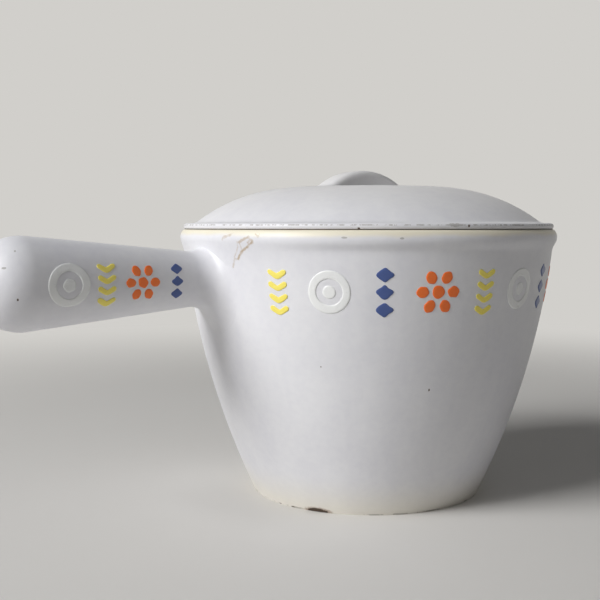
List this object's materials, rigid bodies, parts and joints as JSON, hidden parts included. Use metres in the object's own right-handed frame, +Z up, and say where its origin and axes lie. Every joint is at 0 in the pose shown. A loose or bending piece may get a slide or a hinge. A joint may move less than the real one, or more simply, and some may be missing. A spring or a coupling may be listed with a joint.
{
  "type": "fondue pot with lid",
  "caption": "Enamelled cast-iron fondue pot with a flared hollow handle, a geometric frieze, and a lift-off lid with a bridge grip over a finger dish",
  "frame": {"origin": "centre of the foot, on the table", "axes": "+Z up along the pot's axis, the handle points along -X"},
  "size_m": [0.2767, 0.18, 0.1536],
  "materials": {
    "iron": "matt",
    "white_enamel": "satin",
    "blue_enamel": "gloss",
    "orange_enamel": "gloss",
    "yellow_enamel": "gloss",
    "raised_white_enamel": "gloss"
  },
  "bodies": {
    "pot": {"pot_casting": "iron", "pot_enamel": "white_enamel", "blue_motifs": "blue_enamel", "orange_motifs": "orange_enamel", "yellow_motifs": "yellow_enamel", "white_motifs": "raised_white_enamel"},
    "lid": {"lid_casting": "iron", "lid_enamel": "white_enamel"}
  },
  "joints": [
    {"name": "lid_lift", "type": "slide", "parent": "pot", "child": "lid", "axis": [0, 0, 1], "range_m": [0, 0.12]}
  ]
}
